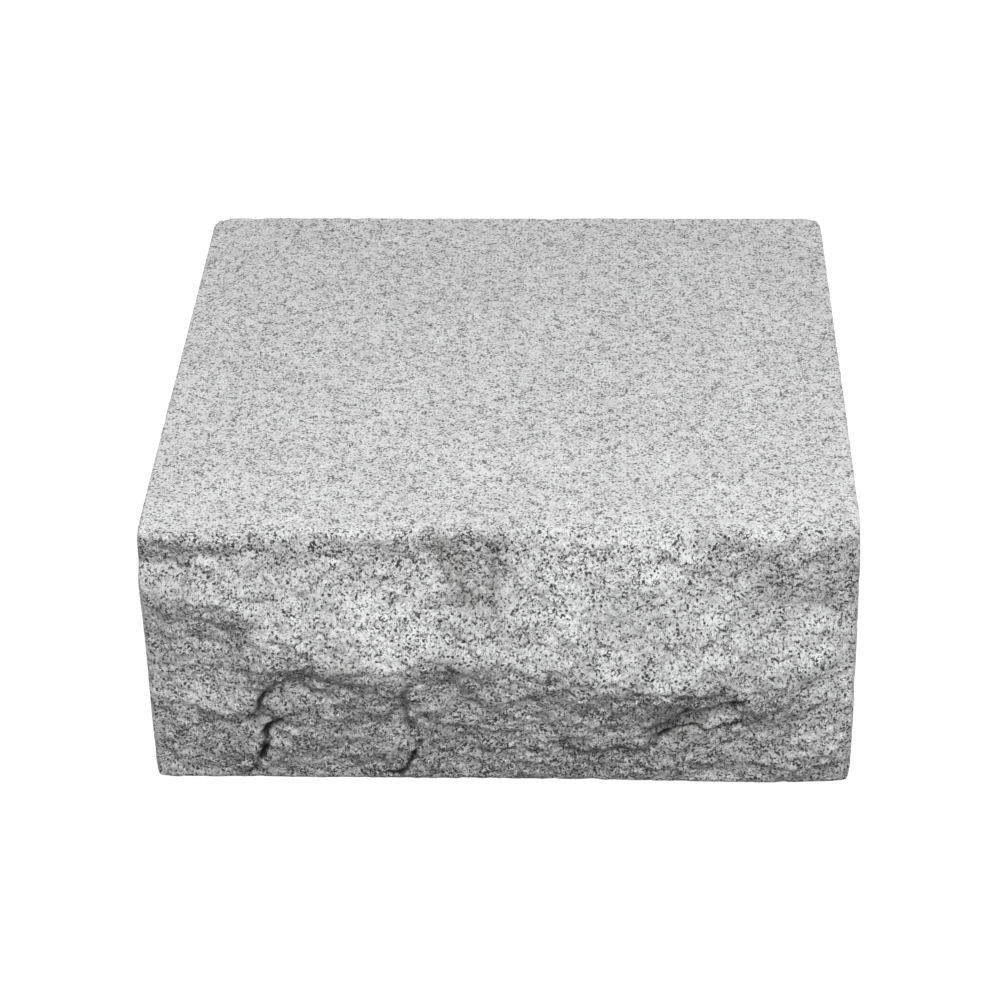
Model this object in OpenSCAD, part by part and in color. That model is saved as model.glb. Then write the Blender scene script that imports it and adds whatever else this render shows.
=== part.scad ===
// Granite block step: a level tread, a rough split front, and a sawn bed, back and ends.
// Millimetres. +Z is up and -Y is the split front. The origin is the middle of the underside
// of everything, the furthest point of the split front included.

/* [Block] */
// Width of the step, from end to end
step_w = 360; // [250:5:900]
// Depth of the tread, from the back face to the line of the front arris
tread_d = 365; // [250:5:600]
// Rise of the step, from bed to tread
rise = 150; // [100:5:220]

/* [Split face] */
// How far the split face stands out past the line of its arrises
boss = 26; // [10:1:40]
// Depth multiplier of the flake scars, the ledges and the cracks
scar_depth = 1; // [0.4:0.1:1.4]
// Height of the slow waves over the whole face
swell = 0.8; // [0:0.1:2.5]
// How deep the scallops are that the splitting left along the front arris of the tread
arris_bite = 2.5; // [0:0.5:7]
// Radius to which the two ends of the split face are worn
end_r = 4; // [3:1:15]
// Height above the bed over which the scars die away, so that the bed keeps a straight front edge
bed_calm = 7; // [3:1:15]

/* [Sawn edges] */
// Radius of the worn arrises round the tread
tread_arris_r = 2.5; // [1:0.5:8]
// Radius of the worn arrises round the bed
bed_arris_r = 3; // [1:0.5:8]
// Radius of the upright corners
corner_r = 3; // [2:0.5:15]

/* [Hidden] */

depth = tread_d + boss;      // over everything
back_y = depth / 2;          // plane of the sawn back
arris_y = boss - depth / 2;  // line that the front arrises run along
cells_x = 76;                // cells of the split face's grid, across
cells_z = 32;                // and up
overrun = 8;                 // how far the split surface runs past the block that it trims
mass_y = depth;              // back of the trimming mass, well behind the block
stone_grey = [0.72, 0.72, 0.71];

// Stations of the split face from its left end to its right: place across, as a share of the
// half width, then the profile there, upwards from the bed. Each point of a profile is
// [height, how far it stands out], as shares of the rise and of the boss.
stations = [
    [-1.00, [[0, 0], [0.34, 0.10], [0.60, 0.16], [0.82, 0.36], [0.88, 0.10], [1, 0.16]]],
    [-0.92, [[0, 0], [0.30, 0.22], [0.58, 0.32], [0.78, 0.54], [0.84, 0.36], [0.88, 0.02], [1, 0.20]]],
    [-0.80, [[0, 0], [0.26, 0.24], [0.34, 0.44], [0.50, 0.40], [0.62, 0.44], [0.78, 0.70], [0.84, 0.44],
        [0.88, 0.04], [1, 0.22]]],
    [-0.70, [[0, 0], [0.30, 0.44], [0.50, 0.58], [0.76, 0.90], [0.84, 0.46], [0.89, 0.08], [1, 0.16]]],
    [-0.64, [[0, 0], [0.30, 0.40], [0.42, 0.72], [0.52, 0.94], [0.66, 0.86], [0.78, 0.60], [0.86, 0.22],
        [1, 0.08]]],
    [-0.57, [[0, 0], [0.28, 0.36], [0.52, 0.78], [0.62, 0.98], [0.74, 0.70], [0.86, 0.18], [1, 0.04]]],
    [-0.44, [[0, 0], [0.28, 0.40], [0.57, 0.98], [0.68, 0.68], [0.82, 0.18], [0.89, 0.03], [1, 0.08]]],
    [-0.30, [[0, 0], [0.28, 0.38], [0.55, 0.88], [0.66, 0.60], [0.82, 0.18], [0.90, 0.04], [1, 0.07]]],
    [-0.15, [[0, 0], [0.28, 0.34], [0.57, 0.84], [0.68, 0.56], [0.82, 0.20], [0.92, 0.04], [1, 0.05]]],
    [0.00, [[0, 0], [0.26, 0.38], [0.56, 0.84], [0.68, 0.60], [0.82, 0.22], [0.92, 0.06], [1, 0]]],
    [0.14, [[0, 0], [0.12, 0.28], [0.36, 0.60], [0.54, 0.88], [0.66, 0.64], [0.86, 0.26], [1, 0]]],
    [0.30, [[0, 0], [0.12, 0.26], [0.30, 0.60], [0.50, 0.94], [0.60, 0.78], [0.72, 0.50], [0.84, 0.32],
        [1, 0]]],
    [0.50, [[0, 0.06], [0.15, 0.28], [0.28, 0.50], [0.48, 1], [0.60, 0.78], [0.72, 0.50], [0.84, 0.34],
        [1, 0]]],
    [0.62, [[0, 0.08], [0.22, 0.34], [0.36, 0.54], [0.46, 0.90], [0.58, 0.88], [0.72, 0.28],
        [0.88, 0.10], [1, 0.02]]],
    [0.76, [[0, 0.08], [0.22, 0.32], [0.34, 0.48], [0.42, 0.62], [0.60, 0.38], [0.72, 0.12],
        [0.88, 0.10], [1, 0.02]]],
    [0.90, [[0, 0.04], [0.12, 0.24], [0.28, 0.26], [0.38, 0.34], [0.60, 0.22], [0.72, 0.08],
        [0.88, 0.08], [1, 0.02]]],
    [1.00, [[0, 0], [0.12, 0.12], [0.38, 0.16], [0.60, 0.12], [0.70, 0.04], [1, 0]]]
];

// Flake scars, shallow bowls struck out of the face: [across, height] as shares of the half
// width and of the rise, then [half width, half height, depth] in millimetres.
scars = [
    [[-0.27, 0.33], [14, 26, 2]],
    [[-0.60, 0.45], [22, 12, 1.5]],
    [[0.31, 0.30], [16, 14, 2]],
    [[0.56, 0.33], [20, 10, 2]]
];

// Ledges that run across the face and drop below their line:
// points [across, height] as above, then [drop, recovery length] in millimetres.
ledges = [
    [[[-0.86, 0.25], [-0.80, 0.265], [-0.75, 0.285], [-0.70, 0.31]], [2.5, 12]],
    [[[0.38, 0.18], [0.44, 0.21], [0.52, 0.27], [0.59, 0.25], [0.64, 0.26], [0.67, 0.28], [0.72, 0.30]],
        [3.5, 14]],
    [[[0.44, 0.27], [0.52, 0.34], [0.58, 0.37], [0.66, 0.39]], [4.5, 14]],
    [[[0.02, 0.15], [0.11, 0.167], [0.20, 0.176], [0.25, 0.145], [0.33, 0.16], [0.42, 0.185]],
        [1.5, 10]]
];

// Upright cracks whose right side drops back, or stands out where the drop is negative:
// points [height, across] as above, then [drop, recovery length] in millimetres.
cracks = [
    [[[0.29, -0.715], [0.34, -0.69], [0.38, -0.667], [0.45, -0.64]], [6, 14]],
    [[[0, -0.72], [0.06, -0.71], [0.10, -0.69], [0.18, -0.672], [0.23, -0.667], [0.28, -0.62]], [3, 8]],
    [[[0, -0.33], [0.05, -0.285], [0.11, -0.265], [0.20, -0.245], [0.30, -0.265],
        [0.42, -0.255]], [-3, 9]]
];

// Smooth 0 to 1 as t goes from 0 to 1.
function ease(t) = let (c = min(1, max(0, t))) c * c * (3 - 2 * c);

// 1 between a and b, fading to 0 over the given margin outside them.
function window(t, a, b, margin) = ease((t - a + margin) / margin) * ease((b + margin - t) / margin);

function total(list, i = 0) = i < len(list) ? list[i] + total(list, i + 1) : 0;

// Loft of the station profiles, straight between the stations.
function loft_at(s, t) = boss * lookup(s, [for (place = stations) [place[0], lookup(t, place[1])]]);

// Depth of one bowl: a paraboloid with a crisp rim.
function scar_at(scar, x, z) =
    let (
        u = (x - scar[0][0] * step_w / 2) / scar[1][0],
        v = (z - scar[0][1] * rise) / scar[1][1]
    )
    scar[1][2] * max(0, 1 - u * u - v * v);

// Drop beside a line: full at once on its far side, then dying away over the recovery length.
function drop_at(beyond, drop, recovery) = beyond <= 0 ? 0 : drop * exp(-beyond / recovery);

function ledge_at(ledge, s, t) =
    let (line = ledge[0], ends = window(s, line[0][0], line[len(line) - 1][0], 0.06))
    ends * drop_at((lookup(s, line) - t) * rise, ledge[1][0], ledge[1][1]);

function crack_at(crack, s, t) =
    let (line = crack[0], ends = window(t, line[0][0], line[len(line) - 1][0], 0.06))
    ends * drop_at((s - lookup(t, line)) * step_w / 2, crack[1][0], crack[1][1]);

// Slow waves over the face, from two crossed sines.
function swell_at(x, z) = swell * sin(360 * x / 71 + 40) * sin(360 * z / 58);

// Scallops of the tread's front arris, of uneven length, gone a sixth of the way down the face.
function bite_at(x, t) =
    let (along = x / 46 + 0.35 * sin(360 * x / 131) + 0.2 * sin(360 * x / 59 + 80))
    arris_bite * ease((t - 0.84) / 0.16) * (abs(sin(180 * along)) - 0.4);

// Wear of the face's two ends: a quarter circle falling back from the last bit of the width.
function end_wear_at(x) =
    let (into = min(end_r, max(0, abs(x) - step_w / 2 + end_r)))
    end_r - sqrt(end_r * end_r - into * into * 0.98);

// How far the split face stands out past the arris line at x, z.
function proud(x, z) =
    let (
        s = min(1, max(-1, x / (step_w / 2))),
        t = min(1, max(0, z / rise)),
        calm = ease(t * rise / bed_calm),
        struck = total([for (k = scars) scar_at(k, s * step_w / 2, t * rise)])
            + total([for (k = ledges) ledge_at(k, s, t)])
            + total([for (k = cracks) crack_at(k, s, t)])
    )
    loft_at(s, t) - bite_at(x, t) - end_wear_at(x) + calm * (swell_at(x, z) - scar_depth * struck);

function grid_x(i) = (step_w + 2 * overrun) * (i / cells_x - 0.5);
function grid_z(k) = (rise + 2 * overrun) * k / cells_z - overrun;

heights = [for (k = [0:cells_z]) [for (i = [0:cells_x]) proud(grid_x(i), grid_z(k))]];
furthest = max([for (row = heights) max(row)]);  // scaled to exactly the boss, so the depth holds

// Everything behind the split surface, wider and taller than the block.
module split_mass() {
    front = [
        for (k = [0:cells_z]) for (i = [0:cells_x])
            [grid_x(i), arris_y - heights[k][i] * boss / furthest, grid_z(k)]
    ];
    row = cells_x + 1;
    n = len(front);
    back = [for (k = [0, cells_z]) for (i = [0, cells_x]) [grid_x(i), mass_y, grid_z(k)]];
    skin = [
        for (k = [0:cells_z - 1]) for (i = [0:cells_x - 1])
            let (a = k * row + i)
            each [[a, a + row, a + row + 1], [a, a + row + 1, a + 1]]
    ];
    left = concat([n], [for (k = [0:cells_z]) k * row], [n + 2]);
    right = concat([n + 3], [for (k = [cells_z:-1:0]) k * row + cells_x], [n + 1]);
    under = concat([n + 1], [for (i = [cells_x:-1:0]) i], [n]);
    over = concat([n + 2], [for (i = [0:cells_x]) cells_z * row + i], [n + 3]);
    rear = [n, n + 2, n + 3, n + 1];
    polyhedron(points = concat(front, back), faces = concat(skin, [left, right, under, over, rear]));
}

// Rectangle centred on the origin, with round corners of one radius below and one above.
module round_rect(w, h, r_low, r_high) {
    translate([r_low - w / 2, -h / 2]) square([w - 2 * r_low, h / 2]);
    translate([r_high - w / 2, 0]) square([w - 2 * r_high, h / 2]);
    translate([-w / 2, r_low - h / 2]) square([w, h - r_low - r_high]);
    for (side = [-1, 1]) {
        translate([side * (w / 2 - r_low), r_low - h / 2]) circle(r = r_low, $fn = 48);
        translate([side * (w / 2 - r_high), h / 2 - r_high]) circle(r = r_high, $fn = 48);
    }
}

// The sawn block before its front is split, with every edge rounded.
module sawn_block() {
    intersection() {
        linear_extrude(height = rise) round_rect(step_w, depth, corner_r, corner_r);
        translate([0, back_y, rise / 2]) rotate([90, 0, 0])
            linear_extrude(height = depth) round_rect(step_w, rise, bed_arris_r, tread_arris_r);
        translate([-step_w / 2, 0, rise / 2]) rotate([90, 0, 90])
            linear_extrude(height = step_w) round_rect(depth, rise, bed_arris_r, tread_arris_r);
    }
}

// The step: one piece of stone.
module granite_step() {
    color(stone_grey)
    intersection() {
        sawn_block();
        split_mass();
    }
}

granite_step();
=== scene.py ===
"""Granite block step: a flamed tread, a rough split front, and a sawn bed, back and ends.

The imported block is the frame. One closed stone replaces it: its six faces are grids on one shared
lattice, so the split front can be fine and the hidden faces coarse, and their borders still meet
point for point. Lengths inside the shape code are in millimetres, and the mesh is in metres.
"""

import logging
import math
from dataclasses import dataclass, field
from enum import Enum

import bpy
import numpy as np
from mathutils import Matrix, Vector


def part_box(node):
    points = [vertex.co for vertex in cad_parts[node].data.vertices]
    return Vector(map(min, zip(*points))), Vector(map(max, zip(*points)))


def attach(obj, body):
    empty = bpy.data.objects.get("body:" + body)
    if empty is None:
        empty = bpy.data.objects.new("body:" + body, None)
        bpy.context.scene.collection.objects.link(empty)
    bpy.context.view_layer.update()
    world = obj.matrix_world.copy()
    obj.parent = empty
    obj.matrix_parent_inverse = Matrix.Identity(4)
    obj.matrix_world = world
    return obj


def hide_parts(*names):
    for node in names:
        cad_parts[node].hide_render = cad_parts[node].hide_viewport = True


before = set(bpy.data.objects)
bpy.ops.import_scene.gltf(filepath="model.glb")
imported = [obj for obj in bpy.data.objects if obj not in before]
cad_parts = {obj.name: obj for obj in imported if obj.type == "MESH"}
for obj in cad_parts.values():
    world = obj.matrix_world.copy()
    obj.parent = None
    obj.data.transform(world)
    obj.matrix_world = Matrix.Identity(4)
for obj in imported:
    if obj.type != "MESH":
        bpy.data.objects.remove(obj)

Array = np.ndarray
Colour = tuple[float, float, float]
Line = tuple[tuple[float, float], ...]
Socket = bpy.types.NodeSocket

MM = 0.001
STEP = "granite_step"
WHITE = (1.0, 1.0, 1.0, 1.0)
LOG = logging.getLogger(STEP)

# Large odd numbers that spread the bits of a cell, and the rounds that do so again.
CELL_FACTORS = (0x9E3779B1, 0x85EBCA77, 0xC2B2AE3D)
SEED_FACTOR, CHANNEL_FACTOR = 0x27D4EB2F, 0x165667B1
ROUNDS = ((15, 0x2C1B3C6D), (12, 0x297A2D39), (15, 0x9E3779B1))


# ---------------------------------------------------------------- helpers


def ease(t: Array) -> Array:
    """Returns 0 to 1 along a smooth S as t goes from 0 to 1: 3 t squared minus 2 t cubed."""
    c = np.clip(t, 0.0, 1.0)
    return c * c * (3.0 - 2.0 * c)


def window(t: Array, low: float, high: float, margin: float) -> Array:
    """Returns 1 between low and high, fading smoothly to 0 over the margin outside them."""
    return ease((t - low + margin) / margin) * ease((high + margin - t) / margin)


def wave(x: Array, length: float, lead: float = 0.0) -> Array:
    """Returns a sine wave over places in millimetres, of that length and ahead by those degrees."""
    return np.sin(2.0 * math.pi * x / length + math.radians(lead))


def stand(name: str, data: bpy.types.ID) -> bpy.types.Object:
    """Makes an object of the given mesh, camera or lamp, and puts it in the scene."""
    made = bpy.data.objects.new(name, data)
    bpy.context.scene.collection.objects.link(made)
    return made


@dataclass(frozen=True)
class StoneNoise:
    """Seeded random fields over points in millimetres, worked out for whole arrays.

    Attributes:
        seed: Number that picks one field out of all those of its kind.
        gain: What brings the highest of the waves to about 1.
        jitter: How far a flat's seed may stand from the middle of its cell, as a share of it.
        step: Steps between flats, as a share of the spacing times the tilt.
    """

    seed: int
    gain: float = 1.6
    jitter: float = 0.45
    step: float = 0.25

    def scatter(self, cells: Array, channel: int) -> Array:
        """Gives every lattice cell a fixed random number from -1 to 1.

        Each coordinate is multiplied by its own large odd number, the products and the seed are
        xored together, and three rounds of shift, xor and multiply spread the bits.

        Args:
            cells: Integer cells, one row of three each.
            channel: Which of several independent numbers to give.

        Returns:
            One number for each cell.
        """
        c = cells.astype(np.int64).astype(np.uint32)
        h = np.uint32((self.seed * SEED_FACTOR + channel * CHANNEL_FACTOR) % 2**32)
        for k, factor in enumerate(CELL_FACTORS):
            h = h ^ c[..., k] * np.uint32(factor)
        for shift, factor in ROUNDS:
            h = (h ^ (h >> np.uint32(shift))) * np.uint32(factor)
        h = h ^ (h >> np.uint32(16))
        return h.astype(np.float64) / 2.0**31 - 1.0

    def scatter3(self, cells: Array, first: int = 0) -> Array:
        """Gives every lattice cell three such numbers, those of the channels from first on."""
        return np.stack([self.scatter(cells, first + k) for k in range(3)], axis=1)

    def waves(self, points: Array, size: float) -> Array:
        """Smooth random waves from about -1 to 1.

        Every lattice corner has a random slope. The value is the eight corners' slopes times the
        way to the point, blended with the quintic 6 t^5 - 15 t^4 + 10 t^3.

        Args:
            points: Places in millimetres, one row of three each.
            size: Length of one wave in millimetres.

        Returns:
            One value for each point.
        """
        p = points / size
        base = np.floor(p)
        part = p - base
        blend = part**3 * (part * (part * 6.0 - 15.0) + 10.0)
        value = np.zeros(len(points))
        for corner in np.ndindex(2, 2, 2):
            at = np.array(corner, float)
            weight = np.prod(np.where(at > 0, blend, 1.0 - blend), axis=1)
            value += weight * np.sum(self.scatter3(base + at) * (part - at), axis=1)
        return value * self.gain

    def rough(self, points: Array, size: float, layers: int, keep: float = 0.55) -> Array:
        """Waves on waves: each layer is half the size of the last, and keep times as high.

        Args:
            points: Places in millimetres, one row of three each.
            size: Length of the longest wave.
            layers: How many layers are summed.
            keep: Height of each layer as a share of the one before.

        Returns:
            One value for each point, from about -1 to 1.
        """
        total = np.zeros(len(points))
        reach = 0.0
        for k in range(layers):
            total += keep**k * StoneNoise(self.seed + 101 * k).waves(points, size / 2**k)
            reach += keep ** (2 * k)
        return total / math.sqrt(reach)

    def facets(self, points: Array, size: float, tilt: float) -> Array:
        """Broken flats with steps between them, as where stone parts along its grains.

        Space is shared out to the nearest of a jittered lattice of seeds. Each seed has a random
        level and a random tilt, and a point's height is the level plus the tilt times the way
        from the seed.

        Args:
            points: Places in millimetres, one row of three each.
            size: Spacing of the seeds.
            tilt: Largest slope of a flat.

        Returns:
            Height of each point in millimetres, both signs.
        """
        base = np.floor(points / size)
        nearest = np.full(len(points), np.inf)
        height = np.zeros(len(points))
        for corner in np.ndindex(3, 3, 3):
            cell = base + np.array(corner) - 1.0
            way = points - (cell + 0.5 + self.jitter * self.scatter3(cell)) * size
            far = np.sum(way * way, axis=1)
            level = self.step * tilt * size * self.scatter(cell, 6)
            level += tilt * np.sum(self.scatter3(cell, 3) * way, axis=1)
            closer = far < nearest
            nearest = np.where(closer, far, nearest)
            height = np.where(closer, level, height)
        return height


# ---------------------------------------------------------------- the split front


@dataclass(frozen=True)
class Scar:
    """A shallow bowl struck out of the face: a paraboloid with a crisp rim.

    Attributes:
        across: Place of its middle as a share of the half width.
        height: Place of its middle as a share of the rise.
        half_w: Half its width in millimetres.
        half_h: Half its height in millimetres.
        depth: Its depth in millimetres.
    """

    across: float
    height: float
    half_w: float
    half_h: float
    depth: float

    def cut(self, s: Array, t: Array, half: float, rise: float) -> Array:
        """Depth of the bowl: depth times 1 minus the squared distance in its own half sizes.

        Args:
            s: Places across as shares of the half width.
            t: Heights as shares of the rise.
            half: Half the width of the block in millimetres.
            rise: Its rise.

        Returns:
            Millimetres cut away at each place.
        """
        u = (s - self.across) * half / self.half_w
        v = (t - self.height) * rise / self.half_h
        return self.depth * np.maximum(0.0, 1.0 - u * u - v * v)


@dataclass(frozen=True)
class Break:
    """A line past which the face drops back at once and then recovers.

    Attributes:
        line: Points of the line, its running share first and the share that it reaches second.
        drop: How far the face drops, in millimetres.
        recovery: Length over which it comes back, in millimetres.
        fade: Share over which it fades away past the line's ends.
    """

    line: Line
    drop: float
    recovery: float
    fade: float = 0.06

    def cut(self, along: Array, other: Array, scale: float) -> Array:
        """Depth on the far side of the line: drop times e to the minus distance over recovery.

        Args:
            along: Shares in the direction that the line runs in.
            other: Shares across it.
            scale: Millimetres for a share across it, negative if the far side is the lower one.

        Returns:
            Millimetres cut away at each place.
        """
        run, reach = np.array(self.line).T
        beyond = (other - np.interp(along, run, reach)) * scale
        fall = self.drop * np.exp(-np.maximum(beyond, 0.0) / self.recovery)
        return window(along, run[0], run[-1], self.fade) * np.where(beyond > 0, fall, 0.0)


@dataclass(frozen=True)
class Gap:
    """An open crack: a rounded groove along a line.

    Attributes:
        line: Its points, millimetres across from the middle and up from the bed.
        half_w: Half its width in millimetres.
        depth: Its depth in millimetres.
    """

    line: Line
    half_w: float
    depth: float

    def cut(self, x: Array, z: Array) -> Array:
        """Depth of the groove: depth times e to the minus squared share of the half width.

        Args:
            x: Places across in millimetres.
            z: Heights in millimetres.

        Returns:
            Millimetres cut away at each place.
        """
        nearest = np.full(len(x), np.inf)
        for (x0, z0), (x1, z1) in zip(self.line, self.line[1:]):
            dx, dz = x1 - x0, z1 - z0
            share = np.clip(((x - x0) * dx + (z - z0) * dz) / (dx * dx + dz * dz), 0.0, 1.0)
            nearest = np.minimum(nearest, np.hypot(x - x0 - share * dx, z - z0 - share * dz))
        return self.depth * np.exp(-((nearest / self.half_w) ** 2))


@dataclass(frozen=True)
class SplitFace:
    """The broken front: a loft of profiles with scars, ledges, cracks and scallops on it.

    Attributes:
        width: Width of the block in millimetres.
        rise: Rise of the block.
        boss: How far the face stands out past the line of its arrises.
        swell: Height of the slow waves on it.
        swell_w: Their length across.
        swell_h: Their length up.
        arris_bite: Depth of the scallops along the front arris.
        scallop_w: Width of one.
        end_r: How far from the ends the face is worn back.
        bed_calm: Height over which the relief dies away towards the bed.
        stations: Place across, then the profile there from the bed up, all as shares.
        scars: The bowls struck out of it.
        ledges: Breaks that run across, with the drop below the line.
        cracks: Breaks that run up, with the drop on their right.
        gaps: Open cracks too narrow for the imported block.
    """

    width: float
    rise: float
    boss: float = 26.0
    swell: float = 0.8
    swell_w: float = 71.0
    swell_h: float = 58.0
    arris_bite: float = 2.5
    scallop_w: float = 46.0
    end_r: float = 4.0
    bed_calm: float = 7.0
    stations: tuple[tuple[float, Line], ...] = (
        (-1.00, ((0, 0), (0.34, 0.10), (0.60, 0.16), (0.82, 0.36), (0.88, 0.10), (1, 0.16))),
        (-0.92, ((0, 0), (0.30, 0.22), (0.58, 0.32), (0.78, 0.54), (0.84, 0.36), (0.88, 0.02),
            (1, 0.20))),
        (-0.80, ((0, 0), (0.26, 0.24), (0.34, 0.44), (0.50, 0.40), (0.62, 0.44), (0.78, 0.70),
            (0.84, 0.44), (0.88, 0.04), (1, 0.22))),
        (-0.70, ((0, 0), (0.30, 0.44), (0.50, 0.58), (0.76, 0.90), (0.84, 0.46), (0.89, 0.08),
            (1, 0.16))),
        (-0.64, ((0, 0), (0.30, 0.40), (0.42, 0.72), (0.52, 0.94), (0.66, 0.86), (0.78, 0.60),
            (0.86, 0.22), (1, 0.08))),
        (-0.57, ((0, 0), (0.28, 0.36), (0.52, 0.78), (0.62, 0.98), (0.74, 0.70), (0.86, 0.18),
            (1, 0.04))),
        (-0.44, ((0, 0), (0.28, 0.40), (0.57, 0.98), (0.68, 0.68), (0.82, 0.18), (0.89, 0.03),
            (1, 0.08))),
        (-0.30, ((0, 0), (0.28, 0.38), (0.55, 0.88), (0.66, 0.60), (0.82, 0.18), (0.90, 0.04),
            (1, 0.07))),
        (-0.15, ((0, 0), (0.28, 0.34), (0.57, 0.84), (0.68, 0.56), (0.82, 0.20), (0.92, 0.04),
            (1, 0.05))),
        (0.00, ((0, 0), (0.26, 0.38), (0.56, 0.84), (0.68, 0.60), (0.82, 0.22), (0.92, 0.06), (1, 0))),
        (0.14, ((0, 0), (0.12, 0.28), (0.36, 0.60), (0.54, 0.88), (0.66, 0.64), (0.86, 0.26), (1, 0))),
        (0.30, ((0, 0), (0.12, 0.26), (0.30, 0.60), (0.50, 0.94), (0.60, 0.78), (0.72, 0.50),
            (0.84, 0.32), (1, 0))),
        (0.50, ((0, 0.06), (0.15, 0.28), (0.28, 0.50), (0.48, 1), (0.60, 0.78), (0.72, 0.50),
            (0.84, 0.34), (1, 0))),
        (0.62, ((0, 0.08), (0.22, 0.34), (0.36, 0.54), (0.46, 0.90), (0.58, 0.88), (0.72, 0.28),
            (0.88, 0.10), (1, 0.02))),
        (0.76, ((0, 0.08), (0.22, 0.32), (0.34, 0.48), (0.42, 0.62), (0.60, 0.38), (0.72, 0.12),
            (0.88, 0.10), (1, 0.02))),
        (0.90, ((0, 0.04), (0.12, 0.24), (0.28, 0.26), (0.38, 0.34), (0.60, 0.22), (0.72, 0.08),
            (0.88, 0.08), (1, 0.02))),
        (1.00, ((0, 0), (0.12, 0.12), (0.38, 0.16), (0.60, 0.12), (0.70, 0.04), (1, 0))),
    )
    scars: tuple[Scar, ...] = (
        Scar(-0.27, 0.33, 14, 26, 2),
        Scar(-0.60, 0.45, 22, 12, 1.5),
        Scar(0.31, 0.30, 16, 14, 2),
        Scar(0.56, 0.33, 20, 10, 2),
    )
    ledges: tuple[Break, ...] = (
        Break(((-0.86, 0.25), (-0.80, 0.265), (-0.75, 0.285), (-0.70, 0.31)), 2.5, 12),
        Break(((0.38, 0.18), (0.44, 0.21), (0.52, 0.27), (0.59, 0.25), (0.64, 0.26), (0.67, 0.28),
            (0.72, 0.30)), 3.5, 14),
        Break(((0.44, 0.27), (0.52, 0.34), (0.58, 0.37), (0.66, 0.39)), 4.5, 14),
        Break(((0.02, 0.15), (0.11, 0.167), (0.20, 0.176), (0.25, 0.145), (0.33, 0.16),
            (0.42, 0.185)), 1.5, 10),
    )
    cracks: tuple[Break, ...] = (
        Break(((0.29, -0.715), (0.34, -0.69), (0.38, -0.667), (0.45, -0.64)), 6, 14),
        Break(((0, -0.72), (0.06, -0.71), (0.10, -0.69), (0.18, -0.672), (0.23, -0.667),
            (0.28, -0.62)), 3, 8),
        Break(((0, -0.33), (0.05, -0.285), (0.11, -0.265), (0.20, -0.245), (0.30, -0.265),
            (0.42, -0.255)), -3, 9),
    )
    gaps: tuple[Gap, ...] = (
        Gap(((-116, 68), (-120, 60), (-124, 51), (-128, 45)), 1.7, 3.5),
        Gap(((-119, 36), (-121, 31), (-121, 26), (-122, 20), (-124, 16)), 1.8, 6.0),
        Gap(((-124, 15), (-127, 9), (-131, 4)), 1.3, 3.0),
        Gap(((-112, 41), (-118, 38)), 2.0, 2.5),
        Gap(((-41, 29), (-43, 24), (-46, 16), (-49, 9), (-52, 6), (-58, 5)), 1.4, 5.5),
        Gap(((-46, 70), (-48, 60), (-49, 50), (-47, 38)), 3.0, 2.0),
        Gap(((0, 86), (-4, 80), (-7, 76)), 1.6, 1.5),
        Gap(((-34, 70), (-27, 71)), 2.2, 2.0),
        Gap(((26, 66), (20, 62), (12, 60), (6, 56)), 1.6, 1.8),
        Gap(((68, 68), (76, 70), (83, 70), (90, 67), (96, 65)), 1.6, 1.5),
        Gap(((120, 59), (106, 56), (94, 51), (86, 45), (80, 40)), 3.2, 2.6),
        Gap(((74, 29), (84, 35), (92, 40), (98, 41), (106, 38), (116, 39), (123, 44)), 1.7, 3.0),
        Gap(((65, 17), (72, 22), (80, 30), (84, 36)), 1.6, 1.5),
        Gap(((4, 24), (14, 22), (30, 25), (42, 24), (50, 21), (62, 24), (75, 27)), 1.3, 1.8),
        Gap(((140, 11), (160, 10), (170, 13), (178, 12)), 1.4, 0.8),
        Gap(((-148, 96), (-143, 98), (-137, 100)), 1.6, 1.2),
        Gap(((-178, 47), (-168, 44)), 1.5, 1.5),
    )

    def loft(self, s: Array, t: Array) -> Array:
        """How far the lofted profiles stand out, straight between the stations.

        Args:
            s: Places across as shares of the half width.
            t: Heights as shares of the rise.

        Returns:
            Millimetres past the arris line.
        """
        places = np.array([place for place, _ in self.stations])
        levels = np.stack([np.interp(t, *np.array(profile).T) for _, profile in self.stations])
        left = np.clip(np.searchsorted(places, s, side="right") - 1, 0, len(places) - 2)
        share = np.clip((s - places[left]) / (places[left + 1] - places[left]), 0.0, 1.0)
        column = np.arange(len(s))
        return self.boss * ((1.0 - share) * levels[left, column] + share * levels[left + 1, column])

    def struck(self, s: Array, t: Array) -> Array:
        """How deep the scars, ledges and cracks cut back together.

        Args:
            s: Places across as shares of the half width.
            t: Heights as shares of the rise.

        Returns:
            Depth of each place in millimetres.
        """
        half = self.width / 2
        depth = np.zeros(len(s))
        for scar in self.scars:
            depth += scar.cut(s, t, half, self.rise)
        for ledge in self.ledges:
            depth += ledge.cut(s, t, -self.rise)
        for crack in self.cracks:
            depth += crack.cut(t, s, half)
        return depth

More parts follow.
